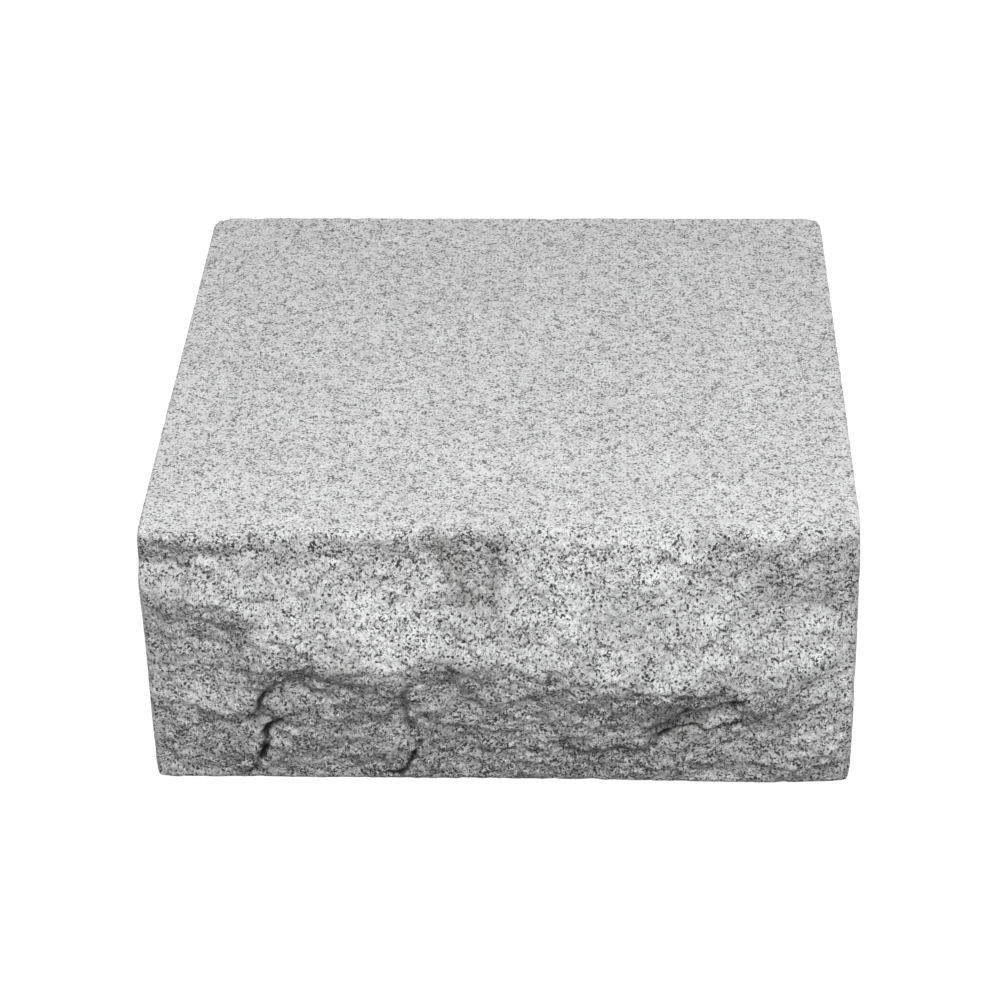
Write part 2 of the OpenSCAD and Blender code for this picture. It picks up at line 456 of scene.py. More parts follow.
    def proud(self, x: Array, z: Array) -> Array:
        """How far the broken face stands out past the line of its arrises.

        The loft, less the scallops of the front arris, less the worn ends, plus the slow waves,
        less what is struck out. The last two die away just above the bed. A scallop is half a
        sine wave, and two slower waves make the scallops uneven.

        Args:
            x: Places across in millimetres, 0 in the middle.
            z: Heights in millimetres above the bed.

        Returns:
            Millimetres past the arris line.
        """
        half = self.width / 2
        s = np.clip(x / half, -1.0, 1.0)
        t = np.clip(z / self.rise, 0.0, 1.0)
        broad = wave(x, self.swell_w, 40.0) * wave(z, self.swell_h)
        along = x / self.scallop_w + 0.35 * wave(x, 131.0) + 0.2 * wave(x, 59.0, 80.0)
        bite = self.arris_bite * ease((t - 0.84) / 0.16) * (np.abs(np.sin(math.pi * along)) - 0.4)
        into = np.clip(np.abs(x) - half + self.end_r, 0.0, self.end_r)
        worn = self.end_r - np.sqrt(self.end_r**2 - 0.98 * into**2)
        calm = ease(t * self.rise / self.bed_calm)
        return self.loft(s, t) - bite - worn + calm * (self.swell * broad - self.struck(s, t))


# ---------------------------------------------------------------- the lattice of the block


class Side(Enum):
    """A face of the block: the axis that it looks along, and which end of that axis it is at."""

    FRONT = (1, 0)
    BACK = (1, 1)
    LEFT = (0, 0)
    RIGHT = (0, 1)
    TREAD = (2, 1)
    BED = (2, 0)

    @property
    def axis(self) -> int:
        """The axis that the face looks along: 0, 1 or 2."""
        return self.value[0]

    @property
    def end(self) -> int:
        """The end of that axis that it is at: 0 is the low one."""
        return self.value[1]


@dataclass(frozen=True)
class Patch:
    """One face's share of the lattice and its place in the texture map.

    Attributes:
        side: The face.
        stride: Lattice lines between the patch's own lines, along its two axes.
        corner: Low corner of its chart in the square texture map.
        density: Share of the map's side for each millimetre.
    """

    side: Side
    stride: tuple[int, int]
    corner: tuple[float, float]
    density: float

    @property
    def axes(self) -> tuple[int, int]:
        """The two axes that lie in the face, lowest first."""
        first, second = (k for k in range(3) if k != self.side.axis)
        return first, second


@dataclass
class Lattice:
    """Integer lines on the skin of the block, and the faces between them.

    Attributes:
        counts: Cells of the finest grid along X, Y and Z.
        end_cells: Of those, how many lie in each end zone, where the arrises are.
        end_zone: Length of an end zone in millimetres.
        patches: The six faces.
    """

    counts: tuple[int, int, int] = (364, 128, 152)
    end_cells: tuple[int, int, int] = (12, 6, 12)
    end_zone: float = 5.0
    patches: tuple[Patch, ...] = (
        Patch(Side.FRONT, (1, 1), (0.008, 0.008), 0.00182),
        Patch(Side.TREAD, (2, 1), (0.008, 0.290), 0.00182),
        Patch(Side.BED, (4, 2), (0.685, 0.008), 0.00080),
        Patch(Side.LEFT, (2, 4), (0.685, 0.325), 0.00080),
        Patch(Side.RIGHT, (2, 4), (0.685, 0.455), 0.00080),
        Patch(Side.BACK, (4, 4), (0.685, 0.585), 0.00080),
    )

    def place(self, index: Array, axis: int, low: float, high: float) -> Array:
        """Turns lattice lines into millimetres: close together in the end zones, even between.

        Args:
            index: Numbers of the lines.
            axis: Which axis they are on.
            low: Place of the first line.
            high: Place of the last line.

        Returns:
            The lines' places.
        """
        n, e = self.counts[axis], self.end_cells[axis]
        places = (low, low + self.end_zone, high - self.end_zone, high)
        return np.interp(index, (0, e, n - e, n), places)

    def stride_at(self, side: Side, axis: int) -> int:
        """Spacing of the lines along one axis at one face's border: the stride of that patch."""
        patch = next(p for p in self.patches if p.side is side)
        return patch.stride[patch.axes.index(axis)]

    def faces_of(self, patch: Patch) -> list[Array]:
        """Faces of one patch as rings of lattice points, turned so that they look outwards.

        Inside the patch a face is a square. On its border a face takes in the neighbour's finer
        points too, so that no gap opens between patches of different spacing. The patch is
        worked through in nine blocks: four corners, four borders and the inside.

        Args:
            patch: The patch.

        Returns:
            Arrays of rings, each of shape (faces, points in a ring, 3).
        """
        a, b = patch.axes
        step_a, step_b = patch.stride
        last_a, last_b = self.counts[a] // step_a - 1, self.counts[b] // step_b - 1
        finer = {
            (axis, end): min(step, self.stride_at(Side((other, end)), axis))
            for axis, other, step in ((a, b, step_a), (b, a, step_b))
            for end in (0, 1)
        }
        outward_turn = (1 if patch.side.end else -1) * (-1 if patch.side.axis == 1 else 1)
        blocks = []
        for rows in (np.arange(1), np.arange(1, last_a), np.array([last_a])):
            for columns in (np.arange(1), np.arange(1, last_b), np.array([last_b])):
                i, j = (g.ravel() for g in np.meshgrid(rows * step_a, columns * step_b, indexing="ij"))
                low_b = finer[a, 0] if columns[0] == 0 else step_a
                high_b = finer[a, 1] if columns[0] == last_b else step_a
                low_a = finer[b, 0] if rows[0] == 0 else step_b
                high_a = finer[b, 1] if rows[0] == last_a else step_b
                ring = [(da, 0) for da in range(0, step_a, low_b)]
                ring += [(step_a, db) for db in range(0, step_b, high_a)]
                ring += [(da, step_b) for da in range(step_a, 0, -high_b)]
                ring += [(0, db) for db in range(step_b, 0, -low_a)]
                points = np.zeros((len(i), len(ring), 3), int)
                points[..., patch.side.axis] = patch.side.end * self.counts[patch.side.axis]
                points[..., a] = i[:, None] + np.array([r[0] for r in ring])
                points[..., b] = j[:, None] + np.array([r[1] for r in ring])
                blocks.append(points[:, ::outward_turn])
        return blocks


# ---------------------------------------------------------------- the stone


@dataclass(frozen=True)
class Knock:
    """A corner or a stretch of arris that handling has rounded off.

    Attributes:
        place: Its middle in millimetres.
        radius: How far it reaches.
        depth: How much is gone in its middle.
    """

    place: tuple[float, float, float]
    radius: float
    depth: float


@dataclass(frozen=True)
class StainAndShade:
    """A soft brownish patch on the front. Some are staining; the rest are painted shade.

    Attributes:
        across: Millimetres from the middle.
        height: Millimetres above the bed.
        half_w: Half its width.
        half_h: Half its height.
        strength: How dark and brownish its middle is, from 0 to 1.
    """

    across: float
    height: float
    half_w: float
    half_h: float
    strength: float


@dataclass
class GraniteStep:
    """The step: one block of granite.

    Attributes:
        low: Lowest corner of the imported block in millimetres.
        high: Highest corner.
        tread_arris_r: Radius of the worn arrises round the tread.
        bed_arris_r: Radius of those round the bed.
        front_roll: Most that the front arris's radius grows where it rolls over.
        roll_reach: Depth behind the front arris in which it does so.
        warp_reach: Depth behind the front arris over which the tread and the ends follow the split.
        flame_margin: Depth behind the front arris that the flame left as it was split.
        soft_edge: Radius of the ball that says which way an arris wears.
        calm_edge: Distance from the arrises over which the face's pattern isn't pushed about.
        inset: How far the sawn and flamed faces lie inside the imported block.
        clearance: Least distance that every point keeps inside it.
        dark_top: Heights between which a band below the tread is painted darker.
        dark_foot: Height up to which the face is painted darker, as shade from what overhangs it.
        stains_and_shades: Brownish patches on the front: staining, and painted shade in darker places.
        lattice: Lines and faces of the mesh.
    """

    low: Array
    high: Array
    tread_arris_r: float = 2.5
    bed_arris_r: float = 3.0
    front_roll: float = 4.5
    roll_reach: float = 30.0
    warp_reach: float = 60.0
    flame_margin: float = 12.0
    soft_edge: float = 10.0
    calm_edge: float = 15.0
    inset: float = 0.3
    clearance: float = 0.02
    dark_top: tuple[float, float] = (133.0, 139.0)
    dark_foot: float = 60.0
    stains_and_shades: tuple[StainAndShade, ...] = (
        # A brownish streak that runs down over the front arris from the tread.
        StainAndShade(-31, 145, 5, 8, 0.5),
        StainAndShade(-25, 138, 6, 7, 0.6),
        StainAndShade(-20, 129, 5, 10, 0.75),
        StainAndShade(-17, 119, 5, 6, 0.6),
        StainAndShade(-12, 115, 8, 3.5, 0.5),
        StainAndShade(-7, 147, 9, 3, 0.4),
        StainAndShade(1, 142, 4.5, 6, 0.85),
        StainAndShade(-2, 130, 4.5, 10, 0.6),
        StainAndShade(-2, 118, 5, 7, 0.45),
        StainAndShade(-12, 132, 12, 16, 0.14),
        StainAndShade(-14, 166, 28, 24, 0.13),
        # From here on, painted shade in darker places of the face: below the brow, beside cracks and under
        # ledges.
        StainAndShade(-98, 85, 34, 9, 0.3),
        StainAndShade(-168, 110, 12, 14, 0.3),
        StainAndShade(-130, 100, 14, 9, 0.4),
        StainAndShade(-80, 80, 16, 9, 0.25),
        StainAndShade(-62, 124, 16, 8, 0.2),
        StainAndShade(51, 149, 14, 7, 0.3),
        StainAndShade(88, 32, 18, 9, 0.45),
        StainAndShade(-22, 82, 5, 5, 1.0),
        StainAndShade(-15, 68, 4, 6, 0.6),
        StainAndShade(-171, 50, 7, 7, 0.5),
        StainAndShade(-125, 40, 5, 5, 0.8),
        StainAndShade(-140, 27, 12, 12, 0.35),
        StainAndShade(100, 45, 10, 6, 0.8),
    )
    lattice: Lattice = field(default_factory=Lattice)

    def __post_init__(self) -> None:
        """Makes the split face to the block's own size, and notes where its arrises run."""
        size = self.high - self.low
        self.split = SplitFace(width=size[0], rise=size[2])
        self.sharp_low = self.low + np.array([0.0, self.split.boss, 0.0])

    def sharp(self, keys: Array) -> Array:
        """Places of lattice points on the sharp block whose front is at the arris line."""
        ends = zip(keys.T, self.sharp_low, self.high)
        return np.stack([self.lattice.place(key, k, *span) for k, (key, *span) in enumerate(ends)], axis=1)

    def round_off(self, sharp: Array, radius: Array) -> tuple[Array, Array]:
        """Rounds the block's edges: each point is pulled onto a ball that rolls inside them.

        The nearest point of the block shrunk by the radius is found by clamping, and the result
        lies one radius from it, towards the sharp point.

        Args:
            sharp: Points on the sharp block.
            radius: Radius at each point.

        Returns:
            The rounded points and their outward directions.
        """
        core = np.clip(sharp, self.sharp_low + radius[:, None], self.high - radius[:, None])
        way = sharp - core
        outward = way / np.linalg.norm(way, axis=1, keepdims=True)
        return core + outward * radius[:, None], outward

    def surface(self, keys: Array) -> tuple[Array, dict[str, Array]]:
        """Places of all the skin's points, and how much each finish shows there.

        Args:
            keys: Lattice points, one row of three each.

        Returns:
            Places in millimetres, and masks by name from 0 to 1.
        """
        sharp = self.sharp(keys)
        points, outward = self.round_off(sharp, self.arris_radius(sharp))
        _, soft = self.round_off(sharp, np.full(len(sharp), self.soft_edge))
        split = ease((-outward[:, 1] - 0.15) / 0.5)

        # The broken front pushes the block's skin, less and less behind the arris.
        proud, slope = self.broken(points)
        points[:, 1] -= proud * (1.0 - ease((sharp[:, 1] - self.sharp_low[1]) / self.warp_reach))
        cut = self.cracked(points)
        relief = self.relief(points) - cut
        points[:, 1] -= split * relief

        # Sawn and flamed faces: a slow wander of the saw, and the pops of the flame.
        wander = StoneNoise(21).waves(points, 70.0)
        pops = StoneNoise(22).rough(points, 7.0, 2)
        flat = (1.0 - split) * (-self.inset + 0.2 * wander + 0.1 * pops)
        moved = points + outward * flat[:, None] - soft * self.worn_away(sharp, points)[:, None]
        moved = np.clip(moved, self.low + self.clearance, self.high - self.clearance)
        masks = self.finishes(sharp, points, outward[:, 2], split, slope)
        # Dirt settled in the low places of the relief, and shade painted there too.
        masks["dust_and_shade"] = split * np.clip(0.25 - 0.35 * relief, 0.0, 1.0)
        # Painted shadow: how far open cracks are blackened.
        masks["crack"] = split * np.clip(cut / 3.0, 0.0, 1.0) ** 1.5
        return moved, masks

    def finishes(
        self, sharp: Array, points: Array, upward: Array, split: Array, slope: Array
    ) -> dict[str, Array]:
        """How much each finish shows: the border between flamed and split stone is frayed by noise.

        Painted shade: what looks down is darker, and so are the foot of the face, towards its left,
        as shade from what overhangs it, and a band at its top.

        Args:
            sharp: Points on the sharp block.
            points: The same points on the shaped one.
            upward: How much each looks up.
            split: How much each is part of the front.
            slope: Millimetres that the face gains for each one upwards.

        Returns:
            Masks by name from 0 to 1.
        """
        behind = sharp[:, 1] - self.sharp_low[1]
        height = points[:, 2] - self.low[2]
        fray = 0.35 * StoneNoise(19).rough(sharp, 9.0, 3, 0.7)
        level = ease((upward + fray - 0.5) / 0.45)
        flamed = ease(behind / self.flame_margin + fray)
        rolled = np.maximum(split, (1.0 - flamed) * level)
        # The mask below paints shade where the face looks down and at its foot away from the right end,
        # and darkens a band at its top.
        top_band = window(height, *self.dark_top, 14.0)
        shaded = ease(1.0 - height / self.dark_foot) * ease((self.high[0] - 25.0 - points[:, 0]) / 60.0)
        return {
            "split": rolled,
            "tread": flamed * level,
            "under": rolled * np.clip(0.25 + 1.3 * slope + 0.35 * shaded + 0.5 * top_band, 0.0, 1.0),
            "stain_and_shade": np.maximum(split, upward) * self.stained_and_shaded(points[:, 0], height, behind),
        }

    def arris_radius(self, sharp: Array) -> Array:
        """Radius of the arrises: larger at the bed, and the front one rolls over here and there.

        Args:
            sharp: Points on the sharp block.

        Returns:
            Radius at each point in millimetres.
        """
        share = ease((sharp[:, 2] - self.low[2]) / (self.high[2] - self.low[2]))
        across = sharp * np.array([1.0, 0.0, 0.0])
        roll = ease(0.55 + 0.9 * StoneNoise(17).waves(across, 75.0))
        near = 1.0 - ease((sharp[:, 1] - self.sharp_low[1]) / self.roll_reach)
        near = near * ease(share * 2.0 - 1.0) * ease((self.high[0] - np.abs(sharp[:, 0])) / 20.0)
        plain = self.bed_arris_r + (self.tread_arris_r - self.bed_arris_r) * share
        return plain + self.front_roll * roll * near

    def broken(self, points: Array) -> tuple[Array, Array]:
        """How far the broken face stands out at each point, and how steeply that grows upwards.

        The face's own pattern is read at places that waves 24 mm long and slabs 12 mm wide have
        pushed about, so that none of its borders runs straight. The push dies away at the arrises.

        Args:
            points: Places in millimetres.

        Returns:
            Millimetres past the arris line, and millimetres gained for each one upwards.
        """
        x, z = points[:, 0], points[:, 2] - self.low[2]
        rise, half, edge = self.split.rise, self.split.width / 2, self.calm_edge
        inside = ease(z / edge) * ease((rise - z) / edge) * ease((half - np.abs(x)) / edge)
        flat = points * np.array([1.0, 0.0, 1.0])
        push_x = inside * 5.5 * StoneNoise(15).rough(flat, 24.0, 5, 0.68)
        push_z = inside * 6.5 * StoneNoise(16).rough(flat, 24.0, 5, 0.68)
        slabs = StoneNoise(25).facets(flat, 12.0, 0.5)
        bent_x, bent_z = x + push_x, z + push_z + inside * slabs
        gap = 1.5
        low, high = (self.split.proud(bent_x, bent_z + side) for side in (-gap, gap))
        return self.split.proud(bent_x, bent_z), (high - low) / (2.0 * gap)

    def relief(self, points: Array) -> Array:
        """Fine relief of the broken face: knuckles 32 mm long, bumps, small flats and grains.

        Each has its own height in millimetres. Below the brow the grains stand higher, and at
        the arrises everything is lower.

        Args:
            points: Places in millimetres, already pushed out.

        Returns:
            Millimetres outwards, both signs.
        """
        x, z = points[:, 0], points[:, 2] - self.low[2]
        rise, half = self.split.rise, self.split.width / 2
        below = 1.0 - ease((z - 50.0) / 30.0)
        rough = 1.5 * StoneNoise(11).rough(points, 32.0, 3)
        rough += 1.1 * StoneNoise(12).rough(points, 12.0, 3, 0.6)
        rough += 0.6 * StoneNoise(13).facets(points, 6.5, 0.26)
        rough += (0.3 + 0.2 * below) * StoneNoise(14).rough(points, 4.0, 2, 0.6)
        rim = np.minimum(np.minimum(z, 6.0 + rise - z), half - np.abs(x))
        return (0.35 + 0.65 * ease(rim / 8.0)) * rough - 0.6

    def cracked(self, points: Array) -> Array:
        """Depth of the open cracks at each point, their lines bent by noise.

        Args:
            points: Places in millimetres.

        Returns:
            Millimetres of cut, 0 away from the cracks.
        """
        x, z = points[:, 0], points[:, 2] - self.low[2]
        bent = 1.5 * StoneNoise(18).rough(points, 6.0, 3, 0.7)
        uneven = np.clip(0.8 + 0.8 * StoneNoise(20).waves(points, 9.0), 0.3, 1.2)
        return uneven * sum(gap.cut(x + bent, z + 0.7 * bent) for gap in self.split.gaps)

    def worn_away(self, sharp: Array, points: Array) -> Array:
        """How much the arrises and corners have lost: small chips where noise is high, and knocks.

        A knock is its depth times 1 minus the squared distance over its radius.

        Args:
            sharp: Points on the sharp block.
            points: The same points on the shaped one.

        Returns:
            Millimetres lost inwards.
        """
        to_planes = np.concatenate([sharp - self.sharp_low, self.high - sharp], axis=1)
        near_arris = 1.0 - ease(np.sort(to_planes, axis=1)[:, 1] / 6.0)
        lost = near_arris * np.maximum(0.0, StoneNoise(31).rough(points, 11.0, 3) - 0.15) * 1.1
        for knock in self.knocks():
            far = np.linalg.norm(sharp - np.array(knock.place), axis=1) / knock.radius
            lost += knock.depth * np.maximum(0.0, 1.0 - far * far)
        return lost

    def stained_and_shaded(self, x: Array, z: Array, depth: Array) -> Array:
        """How much brownish staining and painted shade the stone has, by soft patches that run on over the
        front arris.

        A patch is its strength times e to the minus squared distance in its own half sizes.

        Args:
            x: Places across in millimetres.
            z: Heights above the bed.
            depth: Distances behind the front arris.

        Returns:
            0 to 1 at each place.
        """
        stain_and_shade = np.zeros(len(x))
        for patch in self.stains_and_shades:
            u = (x - patch.across) / patch.half_w
            v = (z + depth - patch.height) / patch.half_h
            stain_and_shade += patch.strength * np.exp(-(u * u) - v * v)
        return np.clip(stain_and_shade, 0.0, 1.0)

    def knocks(self) -> list[Knock]:
        """The corners and stretches of arris that are knocked off, each by its own amount."""
        left, right = self.low[0], self.high[0]
        front, back = self.sharp_low[1], self.high[1]
        bed, top = self.low[2], self.high[2]
        return [
            Knock((left, back, top), 9.0, 2.0),
            Knock((right, back, top), 9.0, 1.6),
            Knock((left, front, top), 10.0, 0.8),
            Knock((right, front, top), 12.0, 1.2),
            Knock((left, front, bed), 9.0, 0.6),
            Knock((right, front, bed), 9.0, 0.8),
            Knock((left + 64.0, back, bed), 9.0, 2.4),
            Knock((right - 92.0, back, bed), 7.0, 1.8),
            Knock((right, back - 150.0, bed), 10.0, 2.6),
            Knock((right, back - 58.0, bed), 6.0, 1.6),
            Knock((left, back - 210.0, bed), 8.0, 2.0),
            Knock((left, back - 96.0, bed), 6.0, 1.8),
            Knock((right, back, bed + 88.0), 8.0, 2.2),
            Knock((left, back, bed + 46.0), 9.0, 2.4),
        ]

    def build(self) -> bpy.types.Object:
        """Makes the stone's mesh with its masks and its texture map, and returns the object."""
        lattice = self.lattice
        rings, charts = [], []
        for patch in lattice.patches:
            for block in lattice.faces_of(patch):
                rings.append(block)
                charts.append(self.chart(patch, block))
        corners = np.concatenate([block.reshape(-1, 3) for block in rings])
        keys, index = np.unique(corners, axis=0, return_inverse=True)
        index = index.ravel()
        points, masks = self.surface(keys)
        faces, start = [], 0
        for block in rings:
            count = block.shape[0] * block.shape[1]
            faces += index[start : start + count].reshape(block.shape[:2]).tolist()
            start += count

        mesh = bpy.data.meshes.new(STEP)
        mesh.from_pydata((points * MM).tolist(), [], faces)
        for name, values in masks.items():
            mask = mesh.attributes.new(name, "FLOAT", "POINT")
            mask.data.foreach_set("value", values.astype(np.float32))
        layer = mesh.uv_layers.new(name="OFBake")
        layer.data.foreach_set("uv", np.concatenate([c.ravel() for c in charts]).astype(np.float32))
        mesh.polygons.foreach_set("use_smooth", np.ones(len(faces), bool))
        mesh.update()
        stone = stand("split_granite_block", mesh)
        LOG.info("%s: %d points, %d faces", stone.name, len(points), len(faces))
        return stone

    def chart(self, patch: Patch, block: Array) -> Array:
        """Texture places of a block of rings: the face seen square on, at the patch's density."""
        places = []
        for k, axis in enumerate(patch.axes):
            span = self.high[axis] - self.sharp_low[axis]
            along = self.lattice.place(block[..., axis], axis, 0.0, span)
            places.append(patch.corner[k] + along * patch.density)
        return np.stack(places, axis=-1)


# ---------------------------------------------------------------- the finish


class Bench:
    """Lays out the nodes of one material, or of the world.

    Attributes:
        material: The new material, where no tree was given.
        tree: The node tree that is laid out.
    """

    def __init__(self, name: str, tree: bpy.types.NodeTree | None = None) -> None:
        """Empties the given tree, or that of a new material of that name."""
        self.material: bpy.types.Material | None = None
        if tree is None:
            self.material = bpy.data.materials.new(name)
            self.material.use_nodes = True
            tree = self.material.node_tree
        self.tree = tree
        self.tree.nodes.clear()

    def put(self, kind: str, inputs: dict | None = None, **settings: object) -> bpy.types.Node:
        """Adds a node, sets its options, and fills or links its inputs.

        Args:
            kind: The node's type.
            inputs: Socket name or number to a plain value or an output socket.
            **settings: The node's own options.

        Returns:
            The node.
        """
        node = self.tree.nodes.new(kind)
        for key, value in settings.items():
            setattr(node, key, value)
        for key, value in (inputs or {}).items():
            if isinstance(value, bpy.types.NodeSocket):
                self.tree.links.new(value, node.inputs[key])
            else:
                node.inputs[key].default_value = value
        return node

    def maths(self, operation: str, *values: object) -> Socket:
        """Adds a Math node on one to three values and returns its result."""
        return self.put("ShaderNodeMath", dict(enumerate(values)), operation=operation).outputs[0]

    def times(self, a: object, b: object, plus: object = 0.0) -> Socket:
        """Returns a times b, plus a third value if there is one."""
        return self.maths("MULTIPLY_ADD", a, b, plus)

    def less(self, a: object, b: object) -> Socket:
        """Returns a less b."""
        return self.maths("SUBTRACT", a, b)

    def mix(self, share: object, a: object, b: object, blend: str = "MIX") -> Socket:
        """Adds a colour Mix node and returns its result."""
        node = self.put("ShaderNodeMix", {0: share, 6: a, 7: b}, data_type="RGBA", blend_type=blend)
        return node.outputs[2]

    def ramp(self, value: object, stops: list[tuple[float, Colour]]) -> Socket:
        """Adds a straight colour ramp with the given stops and returns its colour."""
        node = self.put("ShaderNodeValToRGB", {0: value})
        elements = node.color_ramp.elements
        while len(elements) < len(stops):
            elements.new(1.0)
        for element, (place, colour) in zip(elements, stops):
            element.position = place
            element.color = (*colour, 1.0)
        return node.outputs[0]

    def smooth(
        self, value: object, low: float, high: float, out_low: float = 0.0, out_high: float = 1.0
    ) -> Socket:
        """Adds a smooth Map Range node and returns its result."""
        sockets = {0: value, 1: low, 2: high, 3: out_low, 4: out_high}
        return self.put("ShaderNodeMapRange", sockets, interpolation_type="SMOOTHSTEP").outputs[0]

    def noise(
        self, at: object, size_mm: float, detail: float = 2.0, rough: float = 0.5, output: str = "Fac"
    ) -> Socket:
        """Adds a Noise texture whose waves have that size in millimetres."""
        sockets = {"Vector": at, "Scale": 1.0 / (size_mm * MM), "Detail": detail, "Roughness": rough}
        return self.put("ShaderNodeTexNoise", sockets).outputs[output]

    def stretched(self, at: object, scale: tuple[float, float, float]) -> Socket:
        """Returns places times a scale: where it is small, a pattern on them is drawn out."""
        return self.put("ShaderNodeMapping", {"Vector": at, "Scale": scale}).outputs[0]

    def grains(self, at: object, size_mm: float, feature: str = "F1") -> bpy.types.Node:
        """Adds a Voronoi texture whose cells have that size in millimetres."""
        sockets = {"Vector": at, "Scale": 1.0 / (size_mm * MM)}
        return self.put("ShaderNodeTexVoronoi", sockets, feature=feature)

    def lots(self, grains: bpy.types.Node) -> list[Socket]:
        """Returns the three random numbers that each cell of a Voronoi texture has."""
        return list(self.put("ShaderNodeSeparateColor", {0: grains.outputs["Color"]}).outputs)

    def scale(self, colour: object, share: object) -> Socket:
        """Multiplies a colour by one number and returns it."""
        return self.put("ShaderNodeVectorMath", {0: colour, "Scale": share}, operation="SCALE").outputs[0]

    def bend(self, at: object, size_mm: float, reach_mm: float) -> Socket:
        """Pushes places about by noise of that size, by up to about half the reach."""
        way = self.noise(at, size_mm, output="Color")
        middle = {0: way, 1: (0.5, 0.5, 0.5)}
        centred = self.put("ShaderNodeVectorMath", middle, operation="SUBTRACT").outputs[0]
        push = self.scale(centred, reach_mm * MM)
        return self.put("ShaderNodeVectorMath", {0: at, 1: push}, operation="ADD").outputs[0]

    def shown(self) -> Socket:
        """Is 1 on rays that show the background: from the camera, or by way of metal or glass."""
        light = self.put("ShaderNodeLightPath")
        seen = self.maths("MAXIMUM", light.outputs["Is Camera Ray"], light.outputs["Is Glossy Ray"])
        return self.maths("MAXIMUM", seen, light.outputs["Is Transmission Ray"])

    def mask(self, name: str) -> Socket:
        """Reads one of the stone's masks."""
        return self.put("ShaderNodeAttribute", attribute_name=name).outputs["Fac"]


@dataclass(frozen=True)
class GraniteFinish:
    """Light grey granite: white feldspar, grey quartz and black mica, split, flamed or sawn.

    Sizes that end in _mm are a grain's width or the length of one wave of a noise.

    Attributes:
        glint: Colour of the whitest grains.
        feldspar: Colour of the white grains.
        oligoclase: Colour of the duller feldspar.
        quartz: Colour of the clear grey grains.
        mica: Colour of the black flecks.
        flamed: Colour that the flame bleaches the tread towards.
        dust_shade_colour: Colour of what has settled in the hollows of the split face, which also paints
            the shade there.
        shade_tint: Painted shade: what specks of the parts of the split face that look down are multiplied
            by.
        rust_and_shade: What the patches of staining and of painted shade are multiplied by.
        pitch: Near-black painted into an open crack as the shadow inside it.
        bend_mm: The wander of the grains' borders.
        grain_mm: A pale grain.
        mottle_mm: The mottling of the pale grains.
        seam_mm: A large grain, whose seams the flecks follow.
        speck_mm: The distance between the round specks.
        crumb_mm: A crumb of the flecks.
        fleck_mm: The noise that scatters the flecks.
        nest_mm: The noise that gathers them into nests.
        fade_mm: The noise that leaves some of them paler.
        cloud_mm: The slow light and dark of the stone.
        shade_mm: The specks of the painted shade.
        pit_mm: The pits of its surface.
        saw_mm: The distance between saw marks.
        bleach: Share of the flamed colour on the tread.
        dust_shade_share: Share of that colour in the deepest places of the relief.
        saw_shade: How much a saw mark lightens or darkens the stone.
        saw_bump: How high it stands, as a share of the pits.
        limit: Score past which the stone is black.
    """

    glint: Colour = (0.93, 0.935, 0.94)
    feldspar: Colour = (0.86, 0.865, 0.87)
    oligoclase: Colour = (0.64, 0.64, 0.64)
    quartz: Colour = (0.34, 0.34, 0.345)
    mica: Colour = (0.035, 0.036, 0.038)
    flamed: Colour = (0.60, 0.60, 0.597)
    dust_shade_colour: Colour = (0.22, 0.215, 0.205)
    shade_tint: Colour = (0.60, 0.59, 0.58)
    rust_and_shade: Colour = (0.47, 0.45, 0.43)
    pitch: Colour = (0.03, 0.029, 0.028)
    bend_mm: float = 1.6
    grain_mm: float = 2.2
    mottle_mm: float = 1.6
    seam_mm: float = 3.2
    speck_mm: float = 1.9
    crumb_mm: float = 1.1
    fleck_mm: float = 1.3
    nest_mm: float = 6.0
    fade_mm: float = 5.0
    cloud_mm: float = 38.0
    shade_mm: float = 1.4
    pit_mm: float = 2.2
    saw_mm: float = 3.0
    bleach: float = 0.46
    dust_shade_share: float = 0.15
    saw_shade: float = 0.07
    saw_bump: float = 0.45
    limit: float = 0.816

    def material(self) -> bpy.types.Material:
        """Builds the granite's nodes and returns the material."""
        bench = Bench("granite")
        at = bench.put("ShaderNodeTexCoord").outputs["Object"]
        bent = bench.bend(at, self.bend_mm, self.bend_mm)
        names = ("split", "tread", "dust_and_shade", "under", "stain_and_shade", "crack")
        split, tread, dust_and_shade, under, stain_and_shade, crack = (bench.mask(name) for name in names)
        pale, from_middle = self.pale_grains(bench, bent)
        flecks = self.flecks(bench, at, bent, tread, under)
        scored = self.saw_marks(bench, at, split, tread)

        bleached = bench.mix(bench.times(tread, self.bleach), pale, (*self.flamed, 1.0))
        stone = bench.mix(flecks, bleached, (*self.mica, 1.0))
        cloud = bench.noise(at, self.cloud_mm, 3.0)
        deep = bench.smooth(cloud, 0.35, 0.65, 0.88, 1.05)
        faint = bench.smooth(cloud, 0.3, 0.7, 0.96, 1.03)
        shade = bench.times(split, bench.less(deep, faint), faint)
        clouded = bench.scale(stone, bench.times(scored, self.saw_shade, shade))
        # Painted shade: specks of the split face are darkened where it looks down, at its foot and in a
        # band at its top.
        specks = bench.smooth(bench.noise(bent, self.shade_mm, 3.0, 0.8), 0.45, 0.58)
        shade_painted = bench.mix(bench.times(under, specks), clouded, (*self.shade_tint, 1.0), "MULTIPLY")
        # Staining and painted shade: the patches, streaked up and down.
        streaks = bench.noise(bench.stretched(at, (1.0, 1.0, 0.125)), 5.0)
        stain_shade_share = bench.times(stain_and_shade, bench.smooth(streaks, 0.35, 0.6, 0.5, 1.0))
        stained_and_shaded = bench.mix(stain_shade_share, shade_painted, (*self.rust_and_shade, 1.0), "MULTIPLY")
        # Dirt settled in the hollows of the split face, and painted shade there.
        dust_shaded = bench.mix(bench.times(dust_and_shade, self.dust_shade_share), stained_and_shaded, (*self.dust_shade_colour, 1.0))
        # Painted shadow: open cracks blackened.
        cracked = bench.mix(crack, dust_shaded, (*self.pitch, 1.0))

